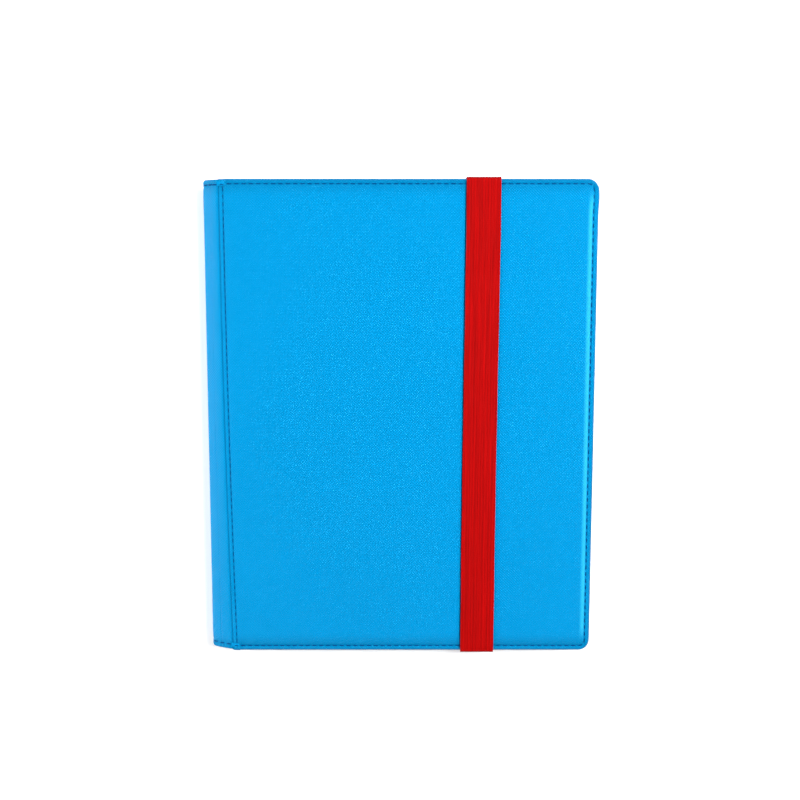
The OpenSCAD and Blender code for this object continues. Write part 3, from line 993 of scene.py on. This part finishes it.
def hatch_group():
    """Embossed cross-hatch: two sets of ridges at 45 degrees, height = sqrt(|sin a| |sin b|),
    with a slight waver from noise."""
    group, given, out = new_group(
        "Cross Hatch",
        [("Vector", "Vector", None), ("Pitch", "Float", 1.1 * MM), ("Waver", "Float", 0.12)],
        [("Height", "Float"), ("Groove", "Float")],
    )
    noise = add_node(group, "ShaderNodeTexNoise", {"Vector": given["Vector"], "Scale": 90.0, "Detail": 2.0})
    centred = math_node(group, "SUBTRACT", noise.outputs["Fac"], 0.5)
    waver = times(group, centred, given["Waver"])
    parts = add_node(group, "ShaderNodeSeparateXYZ", {"Vector": given["Vector"]}).outputs
    waves = []
    for operation in ("ADD", "SUBTRACT"):
        along = math_node(group, operation, parts["X"], parts["Y"])
        along = times(group, along, math.sqrt(0.5))
        phase = math_node(group, "DIVIDE", along, given["Pitch"])
        phase = math_node(group, "ADD", phase, times(group, waver, 4.0))
        turned = math_node(group, "SINE", times(group, phase, math.pi))
        waves.append(math_node(group, "ABSOLUTE", turned))
    both = math_node(group, "MULTIPLY", *waves)
    height = math_node(group, "POWER", both, 0.5)
    group.links.new(height, out["Height"])
    group.links.new(math_node(group, "SUBTRACT", 1.0, height), out["Groove"])
    return group


def grain_group():
    """Fine grain and slow colour variation, from two sizes of noise."""
    group, given, out = new_group(
        "Grain",
        [("Vector", "Vector", None), ("Fine", "Float", 2500.0), ("Slow", "Float", 14.0)],
        [("Height", "Float"), ("Variation", "Float")],
    )
    for scale, detail, result in (("Fine", 3.0, "Height"), ("Slow", 4.0, "Variation")):
        inputs = {"Vector": given["Vector"], "Scale": given[scale], "Detail": detail}
        group.links.new(add_node(group, "ShaderNodeTexNoise", inputs).outputs["Fac"], out[result])
    return group


def weave_group():
    """Interlaced threads: each crossing shows the warp where sin x sin y is positive, otherwise
    the weft, and both are rounded by |sin|."""
    group, given, out = new_group(
        "Weave",
        [("Vector", "Vector", None), ("Across", "Float", 0.5 * MM), ("Along", "Float", 0.5 * MM)],
        [("Height", "Float"), ("Warp", "Float")],
    )
    parts = add_node(group, "ShaderNodeSeparateXYZ", {"Vector": given["Vector"]}).outputs
    waves = []
    for axis, pitch in (("X", "Across"), ("Y", "Along")):
        phase = math_node(group, "DIVIDE", parts[axis], given[pitch])
        waves.append(math_node(group, "SINE", times(group, phase, math.pi)))
    over = math_node(group, "MULTIPLY", *waves)
    warp = math_node(group, "MULTIPLY_ADD", over, 4.0, 0.5)
    clamped = add_node(group, "ShaderNodeClamp", {"Value": warp}).outputs[0]
    round_x, round_y = (math_node(group, "ABSOLUTE", wave) for wave in waves)
    inputs = {"Factor": clamped, "A": round_y, "B": round_x}
    mixed = add_node(group, "ShaderNodeMix", inputs, data_type="FLOAT")
    group.links.new(mixed.outputs["Result"], out["Height"])
    group.links.new(clamped, out["Warp"])
    return group


# The shared node groups built so far, by name
GROUPS = {}


def use_group(tree, name, inputs):
    """Places a shared group, which is built the first time that it is asked for."""
    makers = {"hatch": hatch_group, "grain": grain_group, "weave": weave_group}
    if name not in GROUPS:
        GROUPS[name] = makers[name]()
    made = tree.nodes.new("ShaderNodeGroup")
    made.node_tree = GROUPS[name]
    feed(tree, made, inputs)
    return made.outputs


def new_material(name):
    """A material with a Principled BSDF, and its tree, shader, UV and Object coordinates."""
    material = bpy.data.materials.new(name)
    material.use_nodes = True
    tree = material.node_tree
    shader = next(n for n in tree.nodes if n.type == "BSDF_PRINCIPLED")
    coordinates = tree.nodes.new("ShaderNodeTexCoord")
    return material, tree, shader, coordinates.outputs["UV"], coordinates.outputs["Object"]


def mix_colour(tree, factor, first, second):
    """The output of a colour Mix node."""
    mixed = add_node(tree, "ShaderNodeMix", data_type="RGBA")
    feed(tree, mixed, {0: factor, 6: first, 7: second})
    return mixed.outputs[2]


def rgba(colour_value, gain=1.0):
    """A colour property as a four-number colour, scaled."""
    return (*(min(1.0, c * gain) for c in colour_value), 1.0)


def bump(tree, height, strength, distance, normal=None):
    """The normal output of a Bump node."""
    inputs = {"Height": height, "Strength": strength, "Distance": distance}
    if normal is not None:
        inputs["Normal"] = normal
    return add_node(tree, "ShaderNodeBump", inputs).outputs["Normal"]


def ranged(tree, value, low, high):
    """A 0 to 1 value mapped to low to high."""
    return math_node(tree, "MULTIPLY_ADD", value, high - low, low)


def attribute(tree, name):
    """The value of a mesh attribute."""
    return add_node(tree, "ShaderNodeAttribute", attribute_name=name).outputs["Fac"]


def leatherette(settings):
    """Blue coated leatherette with an embossed cross-hatch: painted shade in the hatch's grooves, in
    the channels and at the covers' two ends, painted shade and wear on the edge, and a painted
    highlight on the line inside the fore-edge's seam."""
    material, tree, shader, uv, place = new_material("blue_hatched_leatherette")
    hatch = use_group(tree, "hatch", {"Vector": uv, "Pitch": settings.hatch_pitch})
    grain = use_group(tree, "grain", {"Vector": place, "Fine": 3200.0, "Slow": 9.0})
    skin = settings.skin_colour
    base = mix_colour(tree, grain["Variation"], rgba(skin, 0.95), rgba(skin, 1.05))
    # Painted shade in the cross-hatch's grooves
    base = mix_colour(tree, times(tree, hatch["Groove"], 0.6), base, rgba(skin, 0.55))
    # Painted shade in the seams' channels and the crease; above 1, a darker painted shadow in the crease and
    # along the elastic's edge
    channel_shade = attribute(tree, "channel")
    base = mix_colour(tree, times(tree, channel_shade, 0.45), base, rgba(skin, 0.5))
    beyond = math_node(tree, "MAXIMUM", math_node(tree, "SUBTRACT", channel_shade, 1.0), 0.0)
    base = mix_colour(tree, times(tree, beyond, 0.95), base, rgba(skin, 0.08))
    # Painted shade in bands along the covers' two ends
    base = mix_colour(tree, times(tree, attribute(tree, "shoulder"), 0.4), base, rgba(skin, 0.5))
    # Painted highlight: a paler cyan line inside the fore-edge's seam
    base = mix_colour(tree, times(tree, attribute(tree, "rubbed"), 0.8), base, (0.05, 0.68, 1, 1))
    # Painted shade on the rolled edge, together with real wear that raises its roughness there
    worn_and_shaded = times(tree, attribute(tree, "wear"), grain["Variation"])
    base = mix_colour(tree, worn_and_shaded, base, rgba(skin, 0.35))
    rough = ranged(tree, grain["Variation"], 0.17, 0.23)
    fine = bump(tree, grain["Height"], 0.12, 0.05 * MM)
    finish = {
        "Base Color": base,
        "Roughness": math_node(tree, "MULTIPLY_ADD", worn_and_shaded, 0.2, rough),
        "Specular IOR Level": 0.45,
        "Specular Tint": (0.04, 0.6, 1, 1),
        "Normal": bump(tree, hatch["Height"], 1.0, 0.3 * MM, fine),
    }
    feed(tree, shader, finish)
    return material


def sewing_thread(settings):
    """Dark blue twisted thread: slanting plies along it."""
    material, tree, shader, uv, place = new_material("dark_blue_thread")
    parts = add_node(tree, "ShaderNodeSeparateXYZ", {"Vector": uv}).outputs
    slant = math_node(tree, "ADD", parts["X"], times(tree, parts["Y"], 0.5))
    ply = math_node(tree, "SINE", times(tree, slant, 2 * math.pi / (0.9 * MM)))
    ply = ranged(tree, ply, 0.5, 1.0)
    thread = settings.thread_colour
    grain = use_group(tree, "grain", {"Vector": place, "Fine": 4000.0, "Slow": 60.0})
    finish = {
        "Base Color": mix_colour(tree, ply, rgba(thread, 0.6), rgba(thread, 1.1)),
        "Roughness": ranged(tree, grain["Variation"], 0.5, 0.7),
        "Specular IOR Level": 0.2,
        "Specular Tint": (0.1, 0.6, 1, 1),
        "Normal": bump(tree, ply, 0.5, 0.1 * MM),
    }
    feed(tree, shader, finish)
    return material


def lining_cloth(settings):
    """Black napped lining: a fine weave under a soft, mottled nap with sheen."""
    material, tree, shader, uv, place = new_material("black_lining_cloth")
    weave = use_group(tree, "weave", {"Vector": uv, "Across": 0.45 * MM, "Along": 0.45 * MM})
    grain = use_group(tree, "grain", {"Vector": place, "Fine": 1400.0, "Slow": 22.0})
    cloth = settings.lining_colour
    base = mix_colour(tree, grain["Variation"], rgba(cloth, 0.7), rgba(cloth, 1.9))
    nap = bump(tree, grain["Height"], 0.35, 0.15 * MM)
    finish = {
        "Base Color": mix_colour(tree, times(tree, weave["Warp"], 0.3), base, rgba(cloth, 2.2)),
        "Roughness": ranged(tree, grain["Variation"], 0.8, 0.95),
        "Sheen Weight": 0.35,
        "Sheen Roughness": 0.4,
        "Normal": bump(tree, weave["Height"], 0.3, 0.08 * MM, nap),
    }
    feed(tree, shader, finish)
    return material


def ribbed_elastic(settings):
    """Red woven elastic: bright warp ribs with darker channels between them, fine slanting picks
    across, streaks along it, and darker where it turns round the covers' ends."""
    material, tree, shader, uv, place = new_material("red_ribbed_elastic")
    parts = add_node(tree, "ShaderNodeSeparateXYZ", {"Vector": uv}).outputs
    red = settings.colour
    phase = times(tree, parts["X"], settings.ribs * math.pi / (STRAP_W / 2))
    rib = ranged(tree, math_node(tree, "COSINE", phase), 0.5, 1.0)
    side = math_node(tree, "SINE", times(tree, phase, 0.5))
    slant = times(tree, math_node(tree, "ABSOLUTE", side), 0.35 * MM)
    pick = math_node(tree, "DIVIDE", math_node(tree, "ADD", parts["Y"], slant), 0.72 * MM)
    pick = ranged(tree, math_node(tree, "SINE", times(tree, pick, 2 * math.pi)), 0.5, 1.0)
    grain = use_group(tree, "grain", {"Vector": place, "Fine": 2600.0, "Slow": 90.0})
    noises = []
    for scale, detail in (((1500, 28, 1), 3.0), ((520, 11, 1), 2.0)):
        drawn_out = add_node(tree, "ShaderNodeMapping", {"Vector": uv, "Scale": scale}).outputs[0]
        inputs = {"Vector": drawn_out, "Scale": 1.0, "Detail": detail}
        noises.append(add_node(tree, "ShaderNodeTexNoise", inputs).outputs["Fac"])
    strands, streaks = noises
    base = mix_colour(tree, rib, rgba(red, 0.76), rgba(red, 1.08))
    base = mix_colour(tree, ranged(tree, pick, 0.0, 0.2), base, rgba(red, 0.6))
    base = mix_colour(tree, ranged(tree, strands, -0.6, 1.2), base, rgba(red, 1.4))
    base = mix_colour(tree, ranged(tree, streaks, -0.7, 1.2), base, rgba(red, 0.62))
    # Darker on the part of the elastic that runs round the covers' ends
    end_y = add_node(tree, "ShaderNodeSeparateXYZ", {"Vector": place}).outputs["Y"]
    limits = {"From Min": HALF_H - 0.3 * MM, "From Max": HALF_H + 0.7 * MM}
    limits["Value"] = math_node(tree, "ABSOLUTE", end_y)
    past_ends = add_node(tree, "ShaderNodeMapRange", limits).outputs["Result"]
    threads = bump(tree, strands, 0.4, 0.12 * MM)
    finish = {
        "Base Color": mix_colour(tree, times(tree, past_ends, 0.7), base, rgba(red, 0.45)),
        "Roughness": ranged(tree, grain["Variation"], 0.62, 0.8),
        "Specular IOR Level": 0.06,
        "Normal": bump(tree, pick, 0.45, 0.12 * MM, threads),
    }
    feed(tree, shader, finish)
    return material


def pocket_sheet(settings):
    """Black backing under clear film: deep and glossy on the pockets, with a matte knurled weld
    between them."""
    material, tree, shader, uv, place = new_material("black_pocket_sheet")
    pocket = attribute(tree, "pocket")
    weave = use_group(tree, "weave", {"Vector": uv, "Across": 0.8 * MM, "Along": 0.8 * MM})
    grain = use_group(tree, "grain", {"Vector": place, "Fine": 1800.0, "Slow": 18.0})
    weld = math_node(tree, "SUBTRACT", 1.0, pocket)
    sheet = settings.colour
    base = mix_colour(tree, grain["Variation"], rgba(sheet, 0.8), rgba(sheet, 1.3))
    waves = bump(tree, grain["Variation"], 0.12, 0.4 * MM)
    finish = {
        "Base Color": mix_colour(tree, times(tree, weld, 0.5), base, rgba(sheet, 2.0)),
        "Roughness": ranged(tree, weld, 0.16, 0.42),
        "Coat Weight": ranged(tree, pocket, 0.1, 1.0),
        "Coat Roughness": 0.08,
        "Normal": bump(tree, times(tree, weave["Height"], weld), 0.35, 0.1 * MM, waves),
    }
    feed(tree, shader, finish)
    return material


def moulded_plastic(name, base_colour, roughness):
    """Moulded plastic with a spark-eroded grain."""
    material, tree, shader, _, place = new_material(name)
    grain = use_group(tree, "grain", {"Vector": place, "Fine": 1600.0, "Slow": 30.0})
    finish = {
        "Base Color": mix_colour(tree, grain["Variation"], rgba(base_colour, 0.8), rgba(base_colour, 1.3)),
        "Roughness": ranged(tree, grain["Variation"], roughness - 0.06, roughness + 0.06),
        "Normal": bump(tree, grain["Height"], 0.3, 0.05 * MM),
    }
    feed(tree, shader, finish)
    return material


def grey_board():
    """Grey bookbinding board with flecks of fibre."""
    material, tree, shader, _, place = new_material("grey_board")
    grain = use_group(tree, "grain", {"Vector": place, "Fine": 900.0, "Slow": 40.0})
    base = mix_colour(tree, grain["Height"], (0.26, 0.22, 0.16, 1), (0.5, 0.44, 0.35, 1))
    finish = {
        "Base Color": mix_colour(tree, ranged(tree, grain["Variation"], 0, 0.5), base, (0.36, 0.31, 0.24, 1)),
        "Roughness": ranged(tree, grain["Variation"], 0.82, 0.95),
        "Normal": bump(tree, grain["Height"], 0.4, 0.1 * MM),
    }
    feed(tree, shader, finish)
    return material


def soft_foam():
    """Pale open-cell foam."""
    material, tree, shader, _, place = new_material("pale_foam")
    cells = add_node(tree, "ShaderNodeTexVoronoi", {"Vector": place, "Scale": 1100.0}).outputs["Distance"]
    finish = {
        "Base Color": mix_colour(tree, cells, (0.55, 0.55, 0.5, 1), (0.82, 0.82, 0.77, 1)),
        "Roughness": ranged(tree, cells, 0.85, 0.98),
        "Normal": bump(tree, cells, 0.6, 0.3 * MM),
    }
    feed(tree, shader, finish)
    return material


# ---------------------------------------------------------------------------
# Stage
# ---------------------------------------------------------------------------


def build_floor():
    """A wide white floor under the binder, that glows a little more away from it."""
    material, tree, shader, _, place = new_material("white_floor")
    grain = use_group(tree, "grain", {"Vector": place, "Fine": 30.0, "Slow": 1.5})
    far = add_node(tree, "ShaderNodeVectorMath", {"Vector": place}, operation="LENGTH").outputs["Value"]
    glow = add_node(tree, "ShaderNodeMapRange", {"Value": far, "From Min": 0.25, "From Max": 1.2})
    finish = {
        "Base Color": mix_colour(tree, grain["Variation"], (0.93, 0.93, 0.93, 1), (0.95, 0.95, 0.95, 1)),
        "Roughness": 0.9,
        "Specular IOR Level": 0.0,
        "Emission Color": ranged(tree, glow.outputs["Result"], 0.3, 0.85),
        "Emission Strength": 1.0,
    }
    feed(tree, shader, finish)
    side = np.linspace(-6, 6, 3)
    xx, yy = np.meshgrid(side, side, indexing="ij")
    points = np.stack([xx, yy, np.full_like(xx, -0.05 * MM)], axis=2)
    make_piece("floor", points, grid_faces(3, 3), material)


def add_light(name, location, target, size, power):
    """A soft rectangular light that faces a target point."""
    data = bpy.data.lights.new(name, "AREA")
    data.shape = "RECTANGLE"
    data.size, data.size_y = size
    data.energy = power
    light = bpy.data.objects.new(name, data)
    bpy.context.scene.collection.objects.link(light)
    light.location = location
    direction = Vector(target) - Vector(location)
    light.rotation_euler = direction.to_track_quat("-Z", "Y").to_euler()


def build_lights():
    """Soft lights on the right, on the left and high on the right, in a surround that is bright
    near the horizon and dim overhead."""
    add_light("right_softbox", (1.05, 0.5, 0.8), (0.05, 0.1, 0), (0.8, 1.0), 12.5)
    add_light("left_softbox", (-1.25, 0.2, 0.62), (-0.05, 0, 0), (0.8, 1.2), 16.5)
    add_light("high_softbox", (0.5, 0.36, 1.3), (0.1, 0.1, 0), (0.2, 0.28), 13)
    world = bpy.data.worlds.new("studio")
    world.use_nodes = True
    tree = world.node_tree
    background = next(n for n in tree.nodes if n.type == "BACKGROUND")
    direction = tree.nodes.new("ShaderNodeTexCoord").outputs["Generated"]
    upwards = add_node(tree, "ShaderNodeSeparateXYZ", {"Vector": direction}).outputs["Z"]
    level = math_node(tree, "SUBTRACT", 1.0, math_node(tree, "ABSOLUTE", upwards))
    glow = math_node(tree, "POWER", level, 1.5)
    tree.links.new(ranged(tree, glow, 0.1, 1.0), background.inputs["Strength"])
    background.inputs["Color"].default_value = (1, 1, 1, 1)
    bpy.context.scene.world = world


def build_camera():
    """A 45 mm camera over the upper half of the front cover, that leans to face a point just above
    the cover's middle."""
    data = bpy.data.cameras.new("camera")
    data.lens, data.sensor_width = 45, 36
    data.clip_start, data.clip_end = 0.05, 20
    camera = bpy.data.objects.new("camera", data)
    bpy.context.scene.collection.objects.link(camera)
    tilt = math.radians(6.64)
    distance = 0.7116
    aim_y = 15.15 * MM
    camera.location = (-0.23 * MM, aim_y + distance * math.sin(tilt), TOP + distance * math.cos(tilt))
    camera.rotation_euler = (-tilt, 0, 0)
    bpy.context.scene.camera = camera
    bpy.context.scene.view_settings.view_transform = "Standard"


# ---------------------------------------------------------------------------
# Operators
# ---------------------------------------------------------------------------


class BINDER_OT_case_skin(bpy.types.Operator):
    """Build the padded leatherette case"""

    bl_idname = "binder.case_skin"
    bl_label = "Case Skin"

    def execute(self, context):
        settings = context.scene.binder_covers
        build_skins(settings, leatherette(settings))
        return {"FINISHED"}


class BINDER_OT_padding(bpy.types.Operator):
    """Build the foam pads inside the covers"""

    bl_idname = "binder.padding"
    bl_label = "Padding"

    def execute(self, context):
        build_padding(context.scene.binder_covers, soft_foam())
        return {"FINISHED"}


class BINDER_OT_lining(bpy.types.Operator):
    """Build the lining of the covers, gutters and spine"""

    bl_idname = "binder.lining"
    bl_label = "Lining"

    def execute(self, context):
        settings = context.scene.binder_covers
        build_linings(settings, lining_cloth(settings))
        return {"FINISHED"}


class BINDER_OT_stitching(bpy.types.Operator):
    """Sew the covers' seams, stitch by stitch"""

    bl_idname = "binder.stitching"
    bl_label = "Stitching"

    def execute(self, context):
        settings = context.scene.binder_covers
        build_stitching(settings, sewing_thread(settings))
        return {"FINISHED"}


class BINDER_OT_strap(bpy.types.Operator):
    """Build the ribbed elastic strap"""

    bl_idname = "binder.strap"
    bl_label = "Elastic Strap"

    def execute(self, context):
        settings = context.scene.binder_strap
        build_strap(settings, ribbed_elastic(settings))
        return {"FINISHED"}


class BINDER_OT_leaves(bpy.types.Operator):
    """Build the pocket leaves"""

    bl_idname = "binder.leaves"
    bl_label = "Pocket Leaves"

    def execute(self, context):
        settings = context.scene.binder_leaves
        build_leaves(settings, pocket_sheet(settings))
        return {"FINISHED"}


class BINDER_OT_boards(bpy.types.Operator):
    """Build the covers' boards, and finish the spine's board and the binding block"""

    bl_idname = "binder.boards"
    bl_label = "Boards and Block"

    def execute(self, context):
        board = grey_board()
        build_boards(board)
        finishes = {"spine_board": board}
        finishes["page_binding_block"] = moulded_plastic("black_block_plastic", (0.014, 0.014, 0.016), 0.42)
        for name, material in finishes.items():
            node = frame["nodes"][name]
            node.data.materials.clear()
            node.data.materials.append(material)
        return {"FINISHED"}


class BINDER_OT_stage(bpy.types.Operator):
    """Add the floor, the lights and the camera"""

    bl_idname = "binder.stage"
    bl_label = "Stage"

    def execute(self, context):
        build_floor()
        build_lights()
        build_camera()
        return {"FINISHED"}


# ---------------------------------------------------------------------------
# Panel and registration
# ---------------------------------------------------------------------------


class BINDER_PT_panel(bpy.types.Panel):
    """Lists the binder's pieces in the sidebar"""

    bl_idname = "BINDER_PT_panel"
    bl_label = "Card Binder"
    bl_space_type = "VIEW_3D"
    bl_region_type = "UI"
    bl_category = "Binder"

    def draw(self, context):
        for operator in OPERATORS:
            self.layout.operator(operator.bl_idname)
        for name in SETTINGS:
            group = getattr(context.scene, name)
            box = self.layout.box()
            for key in group.__annotations__:
                box.prop(group, key)


OPERATORS = (
    BINDER_OT_case_skin,
    BINDER_OT_padding,
    BINDER_OT_lining,
    BINDER_OT_stitching,
    BINDER_OT_strap,
    BINDER_OT_leaves,
    BINDER_OT_boards,
    BINDER_OT_stage,
)
SETTINGS = {
    "binder_covers": CoverSettings,
    "binder_strap": StrapSettings,
    "binder_leaves": LeafSettings,
}


def register():
    for cls in (*SETTINGS.values(), *OPERATORS, BINDER_PT_panel):
        bpy.utils.register_class(cls)
    for name, cls in SETTINGS.items():
        setattr(bpy.types.Scene, name, PointerProperty(type=cls))


def unregister():
    for name in SETTINGS:
        delattr(bpy.types.Scene, name)
    for cls in (BINDER_PT_panel, *OPERATORS[::-1], *SETTINGS.values()):
        bpy.utils.unregister_class(cls)


def main():
    register()
    for operator in OPERATORS:
        group, name = operator.bl_idname.split(".")
        getattr(getattr(bpy.ops, group), name)()


if __name__ == "__main__":
    main()
